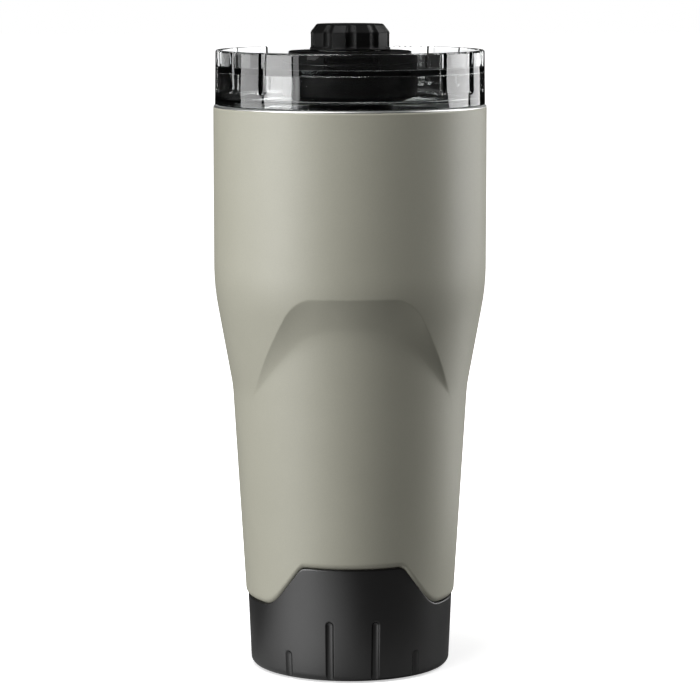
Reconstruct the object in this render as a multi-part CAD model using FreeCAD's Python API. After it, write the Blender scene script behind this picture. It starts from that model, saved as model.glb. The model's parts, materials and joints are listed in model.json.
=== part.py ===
"""Insulated travel tumbler: double-wall steel cup on a moulded boot, clear press-fit lid and knob valve.

Units are millimetres. +Z is up, the origin is the centre of the foot on the table, and the sip window
faces -Y. The cup's front and back are alike: each has a thumb ledge and a raised boot tongue. The lid is
drawn pushed home, with its valve closed.

Turning the knob counter-clockwise, seen from above, turns a spindle that cannot rise. Its two-start thread
pushes the keyed plunger down, away from the seat at the end of the valve neck, so that the drink can flow
up the neck, out of the sip window and over the deck to the lid's rim.
"""

import FreeCAD, Part

import math
import os

from FreeCAD import Placement, Rotation, Vector

# Driving dimensions of the cup.
BODY_R = 48.0  # outer radius of the straight upper wall
RIM_Z = 199.5  # top of the drinking rim
SHOULDER_Z = 136.0  # where the straight wall turns into the upper taper
WAIST_Z = 100.5  # where the upper taper meets the lower one
WAIST_R = 41.6
SEAM_Z = 25.5  # level part of the seam between shell and boot
SEAM_R = 37.07
WALL = 0.8
LINER_WALL = 0.5
LIP = 0.55  # thickness of the liner's rolled lip, which closes the vacuum space

# Thumb ledge, front and back. It is a pocket whose floor is the lower taper carried on upward. Seen from
# the front, the pocket's mouth and the foot of its sloping wall are two arches: level in the middle, then
# falling to each side. Each arch: its height in the middle, the angle from the front where it bends, and
# its fall in mm per degree.
LEDGE_MOUTH = {"top": 136.5, "bend": 23.7, "fall": 1.18}
LEDGE_FOOT = {"top": 123.9, "bend": 19.2, "fall": 0.70}
LEDGE_ARCH_BLEND = 8.0  # mm of height over which each arch turns from level to falling
LEDGE_WALL_BLEND = 0.3  # share of the sloping wall that is blended into the floor
LEDGE_REACH = 52.0  # degrees to each side that the pocket covers
LEDGE_FADE_Z = 110.0  # below this height the floor eases outward, so that it runs out at the waist
LEDGE_FADE = 0.002  # mm outward per square mm of depth below that height

# Inside of the cup.
BORE_R = 44.6  # liner's straight mouth
BORE_FOOT_Z = 140.0
LINER_TAPER_Z = 126.0
LINER_TAPER_R = 40.5
LINER_FLOOR_Z = 9.5
LINER_FLOOR_R = 30.0
PLATE_FOOT_Z = 3.4
PLATE_TOP_Z = 7.0
PLATE_WEB_Z = 4.4
PLATE_THICK = 0.6
GETTER_X = 16.0
GETTER_R = 3.6

# Boot and foot.
TONGUE_Z = 40.7
TONGUE_HALF_TOP = 17.9
TONGUE_HALF_FOOT = 28.3
CORE_TOP_Z = 46.0  # behind the tongue, the shell's core for the boot ends at this height
BOOT_SEAM_R = 36.4
BOOT_FOOT_R = 35.4
BOOT_FOOT_Z = 3.0  # height at which the foot radius is measured
BOOT_WALL = 1.8
BOOT_FLOOR_Z = 2.6
BOOT_CORNER_R = 2.3
BOOT_CLEAR = 0.1
BOOT_FLUTES = ((12.86, 22.0), (38.57, 10.2))  # angle from the front and top of each flute
BOOT_FLUTE_WIDTH = 2.9
BOOT_FLUTE_DEPTH = 1.15
SEAM_GAP = 0.25
SEAM_EDGE_R = 1.2
FOOT_STAND = 0.35  # the silicone foot stands this far below the boot
FOOT_R_OUT = 31.0
FOOT_R_IN = 24.0
FOOT_TOP_Z = 1.55

# Lid.
LID_FOOT_Z = RIM_Z + 0.2
LID_TOP_Z = 218.8
LID_R = 47.4
LID_WALL = 2.2
LID_RIM_WALL = 1.8
DECK_Z = 213.0
DECK_T = 1.8
SHELF_T = 2.5
PLUG_R = 43.9
PLUG_WALL = 2.7
PLUG_FOOT_Z = 188.2
GASKET_Z = (192.2, 196.8)
GASKET_DEPTH = 1.2
LID_GROOVE_Z = 204.0
LID_GROOVE_WIDTH = 3.6
LID_GROOVE_DEPTH = 1.3
LID_GROOVE_ANGLES = (40.5, 60.75, 81.0)

# Valve. The lid's deck is clamped between the black drum below it and the screwed-in cap above it.
DRUM_R = 23.7
DRUM_WALL = 1.5
DRUM_SIDE_Z = 202.4  # where the drum's side turns into its conical underside
DRUM_CONE_Z = 199.4  # where the cone meets the neck
DRUM_HOLE_R = 21.5  # hole in the deck
DRUM_THREAD_R = 20.0
DRUM_THREAD_LEAD = 1.5
CAP_SHOULDER_Z = 216.8
CAP_DISC_R = 21.6
CAP_TOP_Z = 218.4
CAP_DISC_T = 1.8
CAP_SKIRT_WALL = 1.2
CAP_SKIRT_FOOT_Z = 207.6
NECK_R = 15.1
NECK_BORE_R = 12.6
SEAT_Z = 193.4
KEYWAY_DEPTH = 0.8
WINDOW_HALF = 9.5
WINDOW_FOOT_Z = DECK_Z + 0.45
WINDOW_TOP_Z = 215.6
JOURNAL_R = 5.0
RUNNING = 0.05  # radial running clearance
COLLAR_Z = 209.0
COLLAR_T = 1.6
COLLAR_R = 7.0
BOSS_R = 8.6
THREAD_LEAD = 8.0
THREAD_STARTS = 2
THREAD_CORE_R = 3.2
THREAD_CREST_R = 4.1
THREAD_CLEAR = 0.15
SPINDLE_FOOT_Z = 194.5
SPINDLE_TOP_Z = 222.4
DRIVE_R = 4.0
DRIVE_FLAT = 3.0  # distance of the drive's flat from the axis
DRIVE_FOOT_Z = 218.55
O_RING_Z = 213.8
KNOB_TURN = 180.0
STOP_TAB_ANGLE = 24.0
HUB_R = 6.3
HUB_TOP_Z = 206.5
PLUNGER_FOOT_Z = 187.8
SEAL_FOOT_Z = 189.85

# Knob.
KNOB_APOTHEM = 13.66
KNOB_LOBES = 10
KNOB_FLUTE_R = 2.4
KNOB_FOOT_Z = 218.75
KNOB_TOP_Z = 227.8
KNOB_CHAMFER_IN = 2.15
KNOB_CHAMFER_DROP = 2.8
KNOB_FLARE_R = 14.1
KNOB_FLARE_T = 0.8
KNOB_CAP_R = 6.3
KNOB_CAP_Z = 226.05
SCREW_HEAD_Z = 223.8
SCREW_HEAD_R = 2.8
SCREW_R = 1.5

BIG = 300.0  # larger than anything here; size of cutting boxes


# ---------------------------------------------------------------- drawing helpers


def rounded_outline(points):
    """Closed face in the XZ plane. Each point is (x, z) or (x, z, corner radius)."""
    corners = [(Vector(p[0], 0, p[1]), p[2] if len(p) > 2 else 0.0) for p in points]
    spans = []
    for i, (here, radius) in enumerate(corners):
        before = (corners[i - 1][0] - here).normalize()
        after = (corners[(i + 1) % len(corners)][0] - here).normalize()
        half = before.getAngle(after) / 2
        if radius == 0.0:
            spans.append((here, here, None))
            continue
        reach = radius / math.tan(half)
        bisector = (before + after).normalize()
        middle = here + bisector * (radius / math.sin(half) - radius)
        spans.append((here + before * reach, here + after * reach, middle))
    edges = []
    for i, (start, end, middle) in enumerate(spans):
        if middle is not None:
            edges.append(Part.Arc(start, middle, end).toShape())
        following = spans[(i + 1) % len(spans)][0]
        if (following - end).Length > 1e-6:
            edges.append(Part.makeLine(end, following))
    return Part.Face(Part.Wire(edges))


def turned(points):
    """Solid of revolution about Z from an outline of (radius, z[, corner radius])."""
    return rounded_outline(points).revolve(Vector(0, 0, 0), Vector(0, 0, 1), 360)


def ring(r_in, r_out, z_low, z_high, edge=0.0):
    """Plain washer shape with equally rounded edges."""
    return turned([(r_in, z_low, edge), (r_out, z_low, edge), (r_out, z_high, edge), (r_in, z_high, edge)])


def disc(radius, z_low, z_high):
    """Upright cylinder on the Z axis."""
    return Part.makeCylinder(radius, z_high - z_low, Vector(0, 0, z_low))


def prism_along_y(points, y_low, y_high):
    """Front-view outline of (x, z[, corner radius]) pushed along Y."""
    face = rounded_outline(points)
    face.translate(Vector(0, y_low, 0))
    return face.extrude(Vector(0, y_high - y_low, 0))


def block(x_half, y_low, y_high, z_low, z_high):
    """Box that is symmetric about x = 0."""
    return Part.makeBox(2 * x_half, y_high - y_low, z_high - z_low, Vector(-x_half, y_low, z_low))


def half_space(point, normal):
    """Large box that fills the side of a plane which its normal points to."""
    box = Part.makeBox(BIG, BIG, BIG, Vector(-BIG / 2, -BIG / 2, 0))
    box.Placement = Placement(point, Rotation(Vector(0, 0, 1), normal))
    return box


def spun(shape, angle):
    """Copy of a shape turned about Z, in degrees."""
    copy = shape.copy()
    copy.rotate(Vector(0, 0, 0), Vector(0, 0, 1), angle)
    return copy


def sector(r_in, r_out, z_low, z_high, start, sweep):
    """Part of a ring, from a start angle about Z measured from +X, in degrees."""
    outline = rounded_outline([(r_in, z_low), (r_out, z_low), (r_out, z_high), (r_in, z_high)])
    return spun(outline.revolve(Vector(0, 0, 0), Vector(0, 0, 1), sweep), start)


def slot_cutter(face_r, width, depth, z_end, z_open, lean=0.0):
    """Upright cutter for a flute on the -Y side: z_end is its rounded end and z_open the open one."""
    radius = (width**2 / 4 + depth**2) / (2 * depth)
    toward = 1.0 if z_open > z_end else -1.0
    centre = Vector(0, -(face_r - depth + radius), z_end + toward * radius)
    shaft = Part.makeCylinder(radius, abs(z_open - z_end), centre, Vector(0, 0, toward))
    cutter = shaft.fuse(Part.makeSphere(radius, centre))
    cutter.rotate(centre, Vector(1, 0, 0), lean)
    return cutter


def helical_ridge(root_r, crest_r, root_width, crest_width, lead, z_low, z_high, start=0.0):
    """Right-hand trapezoidal thread ridge on a helix, as one solid."""
    helix = Part.makeHelix(lead, z_high - z_low, root_r)
    section = Part.makePolygon(
        [
            Vector(root_r, 0, -root_width / 2),
            Vector(crest_r, 0, -crest_width / 2),
            Vector(crest_r, 0, crest_width / 2),
            Vector(root_r, 0, root_width / 2),
            Vector(root_r, 0, -root_width / 2),
        ]
    )
    ridge = Part.Wire(helix).makePipeShell([section], True, True)
    ridge.translate(Vector(0, 0, z_low))
    return spun(ridge, start)


def fillet_where(shape, radius, chosen):
    """Rounds the edges that the test function picks."""
    edges = [e for e in shape.Edges if chosen(e)]
    return shape.makeFillet(radius, edges)


# ---------------------------------------------------------------- cup


def lower_taper_r(z):
    """Radius of the lower taper at a height, also above the waist where the ledge exposes it."""
    return SEAM_R + (z - SEAM_Z) * (WAIST_R - SEAM_R) / (WAIST_Z - SEAM_Z)


def boot_r(z):
    """Outer radius of the boot at a height."""
    return BOOT_FOOT_R + (z - BOOT_FOOT_Z) * (BOOT_SEAM_R - BOOT_FOOT_R) / (SEAM_Z - BOOT_FOOT_Z)


def smooth_min(a, b, blend):
    """Lesser of two values, rounded over where they are within blend of each other."""
    overlap = max(blend - abs(a - b), 0.0) / blend
    return min(a, b) - overlap**2 * blend / 4


def arch_z(arch, angle):
    """Height of a ledge arch at an angle from the front, in degrees."""
    return smooth_min(arch["top"], arch["top"] - arch["fall"] * (abs(angle) - arch["bend"]), LEDGE_ARCH_BLEND)


def upper_wall_r(z):
    """Outer radius of the cup above the waist, before the ledges are cut."""
    slope = (BODY_R - WAIST_R) / (SHOULDER_Z - WAIST_Z)
    return min(BODY_R, BODY_R - (SHOULDER_Z - z) * slope)


def ledge_r(z, angle):
    """Radius of the pocket's surface; it stands outside the cup beyond the mouth of the pocket."""
    foot_z, mouth_z = arch_z(LEDGE_FOOT, angle), arch_z(LEDGE_MOUTH, angle)
    climb = (z - foot_z) / (mouth_z - foot_z)
    climb = -smooth_min(0.0, -climb, LEDGE_WALL_BLEND)
    climb = smooth_min(climb, 1.5, LEDGE_WALL_BLEND)
    floor = lower_taper_r(z) + LEDGE_FADE * max(LEDGE_FADE_Z - z, 0.0) ** 2
    return floor + max(upper_wall_r(z) - floor, 0.2) * climb


def ledge_cutter(inset):
    """Material in front of the pocket's surface, with the surface moved inward by inset."""
    columns, rows = 70, 30
    low, high = 98.0, 143.0
    grid = []
    for i in range(columns + 1):
        angle = LEDGE_REACH * (2 * i / columns - 1)
        sine, cosine = math.sin(math.radians(angle)), math.cos(math.radians(angle))
        line = []
        for j in range(rows + 1):
            z = low + (high - low) * j / rows
            radius = ledge_r(z, angle) - inset
            line.append(Vector(radius * sine, -radius * cosine, z))
        grid.append(line)
    surface = Part.BSplineSurface()
    surface.interpolate(grid)
    return surface.toShape().extrude(Vector(0, -40.0, 0))


def seam_outline(gap):
    """Front-view region below the seam: level at the sides, with a tongue in the middle, lowered by gap."""
    level, top = SEAM_Z - gap, TONGUE_Z - gap
    run = gap * 0.4
    wide = 2 * BODY_R
    return [
        (-wide, -10),
        (-wide, level),
        (-TONGUE_HALF_FOOT + run, level, 5.0),
        (-TONGUE_HALF_TOP + run, top, 2.0),
        (TONGUE_HALF_TOP - run, top, 2.0),
        (TONGUE_HALF_FOOT - run, level, 5.0),
        (wide, level),
        (wide, -10),
    ]


def cup_form(inset, edge_r):
    """Solid envelope of the outer shell, moved inward by inset, with the seam edge rounded by edge_r.

    Its lower end is the core that the boot is pushed over. An inset form runs past both ends."""
    overrun = 10 * inset
    low = SEAM_Z - 5.0
    visible = turned([
        (0, low),
        (lower_taper_r(low) - inset, low),
        (WAIST_R - inset, WAIST_Z, 50.0),
        (BODY_R - inset, SHOULDER_Z, 80.0),
        (BODY_R - inset, RIM_Z - LIP + overrun),
        (0, RIM_Z - LIP + overrun),
    ])
    cutter = ledge_cutter(inset)
    visible = visible.cut(cutter).cut(spun(cutter, 180))
    visible = visible.cut(prism_along_y(seam_outline(-inset), -BIG / 2, BIG / 2))
    if edge_r:
        def on_seam(edge):
            points = edge.discretize(5)
            low_enough = all(p.z < TONGUE_Z + 0.1 for p in points)
            return low_enough and all(abs(math.hypot(p.x, p.y) - lower_taper_r(p.z)) < 0.05 for p in points)

        visible = fillet_where(visible, edge_r, on_seam)
    gap = BOOT_WALL + BOOT_CLEAR + inset
    foot = PLATE_FOOT_Z - 0.2 - overrun
    core = turned([
        (0, foot),
        (boot_r(foot) - gap, foot, 0 if inset else 1.0),
        (boot_r(CORE_TOP_Z) - gap, CORE_TOP_Z),
        (0, CORE_TOP_Z),
    ])
    return visible.fuse(core).removeSplitter()


def make_outer_shell():
    """Painted outer wall with its thumb ledges and the stepped seat for the boot."""
    return cup_form(0.0, SEAM_EDGE_R).cut(cup_form(WALL, 0.0))


def make_inner_liner():
    """Bare steel liner: drawn cup whose rolled lip sits on the outer wall."""
    lip_r = BODY_R - 0.1
    inside = [
        (0, LINER_FLOOR_Z),
        (LINER_FLOOR_R, LINER_FLOOR_Z, 7.5),
        (LINER_TAPER_R, LINER_TAPER_Z, 20.0),
        (BORE_R, BORE_FOOT_Z, 20.0),
        (BORE_R, RIM_Z, 0.35),
    ]
    outside = [
        (lip_r, RIM_Z, 0.4),
        (lip_r, RIM_Z - LIP),
        (BORE_R + LINER_WALL, RIM_Z - LIP, 0.6),
        (BORE_R + LINER_WALL, BORE_FOOT_Z, 20.0),
        (LINER_TAPER_R + LINER_WALL, LINER_TAPER_Z, 20.0),
        (LINER_FLOOR_R + LINER_WALL, LINER_FLOOR_Z - LINER_WALL, 8.0),
        (0, LINER_FLOOR_Z - LINER_WALL),
    ]
    return turned(inside + outside)


def make_base_plate():
    """Pressed disc welded into the outer wall, with the dimple where the vacuum is pumped and sealed."""
    edge_r = boot_r(PLATE_FOOT_Z) - BOOT_WALL - BOOT_CLEAR - WALL - 0.02
    dimple_rise = 1.6
    return turned([
        (edge_r, PLATE_FOOT_Z),
        (edge_r, PLATE_TOP_Z),
        (edge_r - PLATE_THICK, PLATE_TOP_Z),
        (edge_r - PLATE_THICK, PLATE_WEB_Z + PLATE_THICK, 1.0),
        (9.0, PLATE_WEB_Z + PLATE_THICK, 1.0),
        (6.0, PLATE_WEB_Z + PLATE_THICK + dimple_rise, 0.8),
        (1.0, PLATE_WEB_Z + PLATE_THICK + dimple_rise),
        (1.0, PLATE_WEB_Z + dimple_rise),
        (5.6, PLATE_WEB_Z + dimple_rise, 0.8),
        (8.6, PLATE_WEB_Z, 1.0),
        (edge_r - 1.0, PLATE_WEB_Z, 0.8),
        (edge_r - 1.0, PLATE_FOOT_Z),
    ])


def make_vacuum_seal_bead():
    """Fused bead that plugs the pumping hole."""
    bead_r, stem_r = 2.0, 0.95
    bead_foot, bead_top, stem_top = 4.9, 5.95, 7.1
    return turned([
        (0, bead_foot),
        (bead_r, bead_foot, 0.9),
        (bead_r, bead_top),
        (stem_r, bead_top),
        (stem_r, stem_top),
        (0, stem_top),
    ])


def make_getter_tablet():
    """Gas-absorbing tablet in the vacuum space under the liner."""
    low, high = 6.4, 8.3
    tablet = turned([(0, low), (GETTER_R, low, 0.3), (GETTER_R, high, 0.3), (0, high)])
    tablet.translate(Vector(GETTER_X, 0, 0))
    return tablet


def make_getter_clip():
    """Sheet cup and ears that hold the tablet against the liner's base."""
    inner_r, outer_r = GETTER_R + 0.08, GETTER_R + 0.35
    foot, floor_top, rim = 6.05, 6.33, 8.95
    cup = turned([
        (0, foot),
        (outer_r, foot, 0.3),
        (outer_r, rim),
        (inner_r, rim),
        (inner_r, floor_top),
        (0, floor_top),
    ])
    ear_length, ear_width, ear_t = 16.0, 3.0, 0.25
    ears = Part.makeBox(ear_length, ear_width, ear_t, Vector(-ear_length / 2, -ear_width / 2, rim - ear_t))
    clip = cup.fuse(ears.cut(disc(inner_r + 0.1, foot, rim + 0.5)))
    clip.translate(Vector(GETTER_X, 0, 0))
    return clip


def make_base_boot():
    """Moulded boot with a raised tongue front and back, and flutes that run out at its foot."""
    body = turned([
        (0, FOOT_STAND),
        (boot_r(0.0), FOOT_STAND, BOOT_CORNER_R),
        (boot_r(CORE_TOP_Z), CORE_TOP_Z),
        (0, CORE_TOP_Z),
    ])
    body = body.common(prism_along_y(seam_outline(SEAM_GAP), -BIG / 2, BIG / 2))
    open_z = CORE_TOP_Z + 4.0
    hollow = turned([
        (0, BOOT_FLOOR_Z),
        (boot_r(BOOT_FLOOR_Z) - BOOT_WALL, BOOT_FLOOR_Z, 1.0),
        (boot_r(open_z) - BOOT_WALL, open_z),
        (0, open_z),
    ])
    body = body.cut(hollow)
    lean = math.degrees(math.atan((BOOT_SEAM_R - BOOT_FOOT_R) / (SEAM_Z - BOOT_FOOT_Z)))
    for angle, flute_top in BOOT_FLUTES:
        cutter = slot_cutter(boot_r(flute_top), BOOT_FLUTE_WIDTH, BOOT_FLUTE_DEPTH, flute_top, -8.0, lean)
        for turn in (angle, -angle, 180 + angle, 180 - angle):
            body = body.cut(spun(cutter, turn))
    return body.cut(ring(FOOT_R_IN - 0.1, FOOT_R_OUT + 0.1, -1.0, FOOT_TOP_Z + 0.05))


def make_foot_ring():
    """Non-slip ring pressed into the boot's foot."""
    return ring(FOOT_R_IN, FOOT_R_OUT, 0.0, FOOT_TOP_Z, 0.25)


# ---------------------------------------------------------------- lid


def make_lid_shell():
    """Clear lid: fluted skirt, deck with the hole for the valve, and the plug that enters the cup."""
    deck_under = DECK_Z - DECK_T
    shelf_top = LID_FOOT_Z + SHELF_T
    wall_in = LID_R - LID_WALL
    plug_in = PLUG_R - PLUG_WALL
    groove_low, groove_high = GASKET_Z
    lid = turned([
        (DRUM_HOLE_R, deck_under, 0.2),
        (wall_in, deck_under, 0.3),
        (wall_in, shelf_top, 0.6),
        (plug_in, shelf_top, 1.0),
        (plug_in, PLUG_FOOT_Z, 0.6),
        (PLUG_R, PLUG_FOOT_Z, 0.8),
        (PLUG_R, groove_low),
        (PLUG_R - GASKET_DEPTH, groove_low, 0.2),
        (PLUG_R - GASKET_DEPTH, groove_high, 0.2),
        (PLUG_R, groove_high),
        (PLUG_R, LID_FOOT_Z, 0.4),
        (LID_R, LID_FOOT_Z, 0.35),
        (LID_R - 0.25, LID_TOP_Z, 0.7),
        (LID_R - LID_RIM_WALL, LID_TOP_Z, 0.5),
        (wall_in, DECK_Z, 0.4),
        (DRUM_HOLE_R, DECK_Z, 0.2),
    ])
    groove = slot_cutter(LID_R - 0.1, LID_GROOVE_WIDTH, LID_GROOVE_DEPTH, LID_GROOVE_Z, LID_TOP_Z + 6.0)
    for angle in LID_GROOVE_ANGLES:
        for turn in (angle, -angle, 180 - angle, 180 + angle):
            lid = lid.cut(spun(groove, turn))
    return lid.removeSplitter()


def make_lid_gasket():
    """Two-lipped silicone ring in the plug's groove, drawn with its lips just clear of the liner."""
    seat, body, lip = PLUG_R - GASKET_DEPTH + 0.02, PLUG_R - 0.1, BORE_R - 0.08
    low, high = GASKET_Z[0] + 0.1, GASKET_Z[1] - 0.1
    return turned([
        (seat, low, 0.2),
        (body, low, 0.2),
        (body, low + 0.6),
        (lip, low + 1.2, 0.2),
        (lip, low + 1.6, 0.2),
        (body, low + 2.0, 0.2),
        (body, high - 1.6, 0.2),
        (lip, high - 1.0, 0.2),
        (lip, high - 0.6, 0.2),
        (body, high - 0.2),
        (body, high),
        (seat, high, 0.2),
    ])


def drum_thread(growth):
    """Thread on the skirt of the cap, grown by a clearance when it cuts the drum's bore."""
    root, crest = DRUM_THREAD_R - 0.3, DRUM_THREAD_R + 0.55 + growth
    root_width, crest_width = 0.9 + 2 * growth, 0.4 + 2 * growth
    low, high = CAP_SKIRT_FOOT_Z + 0.6, DECK_Z - DECK_T - 0.6
    return helical_ridge(root, crest, root_width, crest_width, DRUM_THREAD_LEAD, low, high)


def make_valve_housing():
    """Drum under the deck: threaded bore for the cap, conical floor and the neck with the valve seat."""
    deck_under = DECK_Z - DECK_T
    top = deck_under - 0.04
    spigot_r, spigot_top = DRUM_HOLE_R - 0.1, DECK_Z - 0.1
    bore_r = DRUM_THREAD_R + 0.1
    seal_in, seal_out, seal_foot = DRUM_HOLE_R + 0.4, DRUM_R - 0.5, deck_under - 0.5
    body = turned([
        (NECK_BORE_R, SEAT_Z, 0.3),
        (NECK_R, SEAT_Z, 0.3),
        (NECK_R, DRUM_CONE_Z, 0.6),
        (DRUM_R, DRUM_SIDE_Z, 0.8),
        (DRUM_R, top),
        (seal_out, top),
        (seal_out, seal_foot),
        (seal_in, seal_foot),
        (seal_in, top),
        (spigot_r, top),
        (spigot_r, spigot_top, 0.2),
        (bore_r, spigot_top),
        (bore_r, CAP_SKIRT_FOOT_Z - 0.3),
        (DRUM_R - DRUM_WALL, CAP_SKIRT_FOOT_Z - 1.8),
        (DRUM_R - DRUM_WALL, DRUM_SIDE_Z + DRUM_WALL, 0.8),
        (NECK_BORE_R, DRUM_CONE_Z + DRUM_WALL + 0.3, 0.8),
    ])
    body = body.cut(drum_thread(THREAD_CLEAR))
    key_r = NECK_BORE_R + KEYWAY_DEPTH
    keyway = Part.makeBox(2 * key_r, 2.2, DRUM_CONE_Z + 6.0 - SEAT_Z, Vector(-key_r, -1.1, SEAT_Z - 1.0))
    return body.cut(keyway).removeSplitter()


def make_housing_gasket():
    """Flat seal between the drum and the underside of the deck."""
    deck_under = DECK_Z - DECK_T
    return ring(DRUM_HOLE_R + 0.45, DRUM_R - 0.55, deck_under - 0.48, deck_under - 0.02, 0.1)


def make_housing_cover():
    """Cap screwed into the drum: sip window, spindle bearing, and the knob's end stop under its boss."""
    boss_foot = COLLAR_Z + COLLAR_T + 0.9
    disc_under = CAP_TOP_Z - CAP_DISC_T
    skirt_out, skirt_in = DRUM_THREAD_R, DRUM_THREAD_R - CAP_SKIRT_WALL
    journal = JOURNAL_R + RUNNING
    cover = turned([
        (journal, boss_foot),
        (BOSS_R, boss_foot, 0.3),
        (BOSS_R, disc_under, 1.0),
        (skirt_in, disc_under, 0.8),
        (skirt_in, CAP_SKIRT_FOOT_Z, 0.3),
        (skirt_out, CAP_SKIRT_FOOT_Z, 0.3),
        (skirt_out, DECK_Z + 0.04),
        (DRUM_R, DECK_Z + 0.04, 0.2),
        (DRUM_R, CAP_SHOULDER_Z, 0.6),
        (CAP_DISC_R, CAP_SHOULDER_Z + 0.3),
        (CAP_DISC_R, CAP_TOP_Z, 0.5),
        (journal, CAP_TOP_Z),
    ])
    cover = cover.fuse(drum_thread(0.0))
    window = prism_along_y([
        (-WINDOW_HALF, WINDOW_FOOT_Z),
        (WINDOW_HALF, WINDOW_FOOT_Z),
        (WINDOW_HALF, WINDOW_TOP_Z, 0.8),
        (-WINDOW_HALF, WINDOW_TOP_Z, 0.8),
    ], -DRUM_R - 1.0, -15.0)
    cover = cover.cut(window)
    slack = 1.0
    arc = 360 - KNOB_TURN - STOP_TAB_ANGLE - 2 * slack
    start = 90 + STOP_TAB_ANGLE / 2 + KNOB_TURN + slack
    stop = sector(COLLAR_R + 0.3, BOSS_R, COLLAR_Z, boss_foot + 0.2, start, arc)
    return cover.fuse(stop).removeSplitter()


def spindle_thread(growth):
    """Starts of the lift thread, grown by a clearance when they cut the plunger's bore."""
    overrun = 8 * growth
    low, high = SPINDLE_FOOT_Z - overrun, COLLAR_Z - 2.0 + overrun
    shift = -360.0 * overrun / THREAD_LEAD
    starts = [shift + 360.0 * i / THREAD_STARTS for i in range(THREAD_STARTS)]
    crest = THREAD_CREST_R + growth
    root_width, crest_width = 2.0 + 2 * growth, 1.0 + 2 * growth
    return [
        helical_ridge(THREAD_CORE_R - 0.3, crest, root_width, crest_width, THREAD_LEAD, low, high, start)
        for start in starts
    ]


def make_spindle():
    """Turning spindle: lift thread, stop collar, journal with an O-ring groove, and D-shaped drive."""
    collar_top = COLLAR_Z + COLLAR_T
    groove_low, groove_high, groove_r = O_RING_Z - 0.6, O_RING_Z + 0.6, JOURNAL_R - 0.9
    tip = SPINDLE_FOOT_Z - 1.2
    body = turned([
        (0, tip),
        (THREAD_CORE_R - 0.8, tip),
        (THREAD_CORE_R, tip + 0.8),
        (THREAD_CORE_R, COLLAR_Z),
        (COLLAR_R, COLLAR_Z, 0.3),
        (COLLAR_R, collar_top, 0.2),
        (JOURNAL_R, collar_top),
        (JOURNAL_R, groove_low),
        (groove_r, groove_low),
        (groove_r, groove_high),
        (JOURNAL_R, groove_high),
        (JOURNAL_R, DRIVE_FOOT_Z),
        (DRIVE_R, DRIVE_FOOT_Z),
        (DRIVE_R, SPINDLE_TOP_Z, 0.3),
        (0, SPINDLE_TOP_Z),
    ])
    for ridge in spindle_thread(0.0):
        body = body.fuse(ridge)
    tab = sector(COLLAR_R - 0.5, BOSS_R - 0.2, COLLAR_Z, collar_top, 90 - STOP_TAB_ANGLE / 2, STOP_TAB_ANGLE)
    body = body.fuse(tab)
    flat = block(6.0, DRIVE_FLAT, 8.0, DRIVE_FOOT_Z, SPINDLE_TOP_Z + 1.0)
    screw_hole = disc(SCREW_R + 0.05, 212.0, SPINDLE_TOP_Z + 1.0)
    return body.cut(flat).cut(screw_hole)


def make_spindle_o_ring():
    """O-ring between spindle and cover."""
    cord_r = 0.44
    o_ring = Part.makeTorus(JOURNAL_R + 0.01 - cord_r, cord_r)
    o_ring.translate(Vector(0, 0, O_RING_Z))
    return o_ring


def make_thrust_washer():
    """Low-friction washer between the spindle's collar and the cover's boss."""
    low = COLLAR_Z + COLLAR_T + 0.05
    return ring(JOURNAL_R + 0.1, COLLAR_R, low, low + 0.75, 0.1)


def make_valve_plunger():
    """Keyed plunger: sealing disc, four guide vanes and a hub with the internal lift thread."""
    disc_r, disc_top = NECK_BORE_R + 2.6, PLUNGER_FOOT_Z + 2.8
    groove_in, groove_out, groove_z = NECK_BORE_R - 1.4, NECK_BORE_R + 1.8, SEAL_FOOT_Z - 0.05
    hub_foot = disc_top + 0.2
    body = turned([
        (0, PLUNGER_FOOT_Z),
        (disc_r, PLUNGER_FOOT_Z, 1.4),
        (disc_r, disc_top, 0.3),
        (groove_out, disc_top),
        (groove_out, groove_z),
        (groove_in, groove_z),
        (groove_in, hub_foot),
        (HUB_R, hub_foot, 0.6),
        (HUB_R, HUB_TOP_Z, 0.4),
        (0, HUB_TOP_Z),
    ])
    key_reach, guide_reach = NECK_BORE_R + KEYWAY_DEPTH - 0.25, NECK_BORE_R - 0.3
    vane_in, vane_step, vane_half = groove_in - 0.4, SEAT_Z + 0.4, 0.8
    for i, reach in enumerate((key_reach, guide_reach, key_reach, guide_reach)):
        vane = prism_along_y([
            (HUB_R - 1.3, disc_top),
            (vane_in, disc_top),
            (vane_in, vane_step),
            (reach, vane_step + 0.8, 0.3),
            (reach, HUB_TOP_Z - 4.5, 1.5),
            (HUB_R - 1.3, HUB_TOP_Z - 1.5),
        ], -vane_half, vane_half)
        body = body.fuse(spun(vane, 90 * i))
    body = body.cut(disc(THREAD_CORE_R + 0.2, SPINDLE_FOOT_Z - 2.9, HUB_TOP_Z + 1))
    for ridge in spindle_thread(THREAD_CLEAR):
        body = body.cut(ridge)
    return body.removeSplitter()


def make_plunger_seal():
    """Silicone face seal that closes against the end of the neck."""
    inner, outer, lip = NECK_BORE_R - 1.35, NECK_BORE_R + 1.75, NECK_BORE_R + 2.4
    ridge_r, ridge_top, shoulder, lip_foot = NECK_BORE_R + 0.8, SEAT_Z - 0.05, SEAT_Z - 0.4, SEAL_FOOT_Z + 0.8
    return turned([
        (inner, SEAL_FOOT_Z),
        (outer, SEAL_FOOT_Z),
        (outer, lip_foot),
        (lip, lip_foot, 0.2),
        (lip, shoulder, 0.5),
        (ridge_r, ridge_top, 0.5),
        (inner, shoulder, 0.5),
    ])


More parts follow.
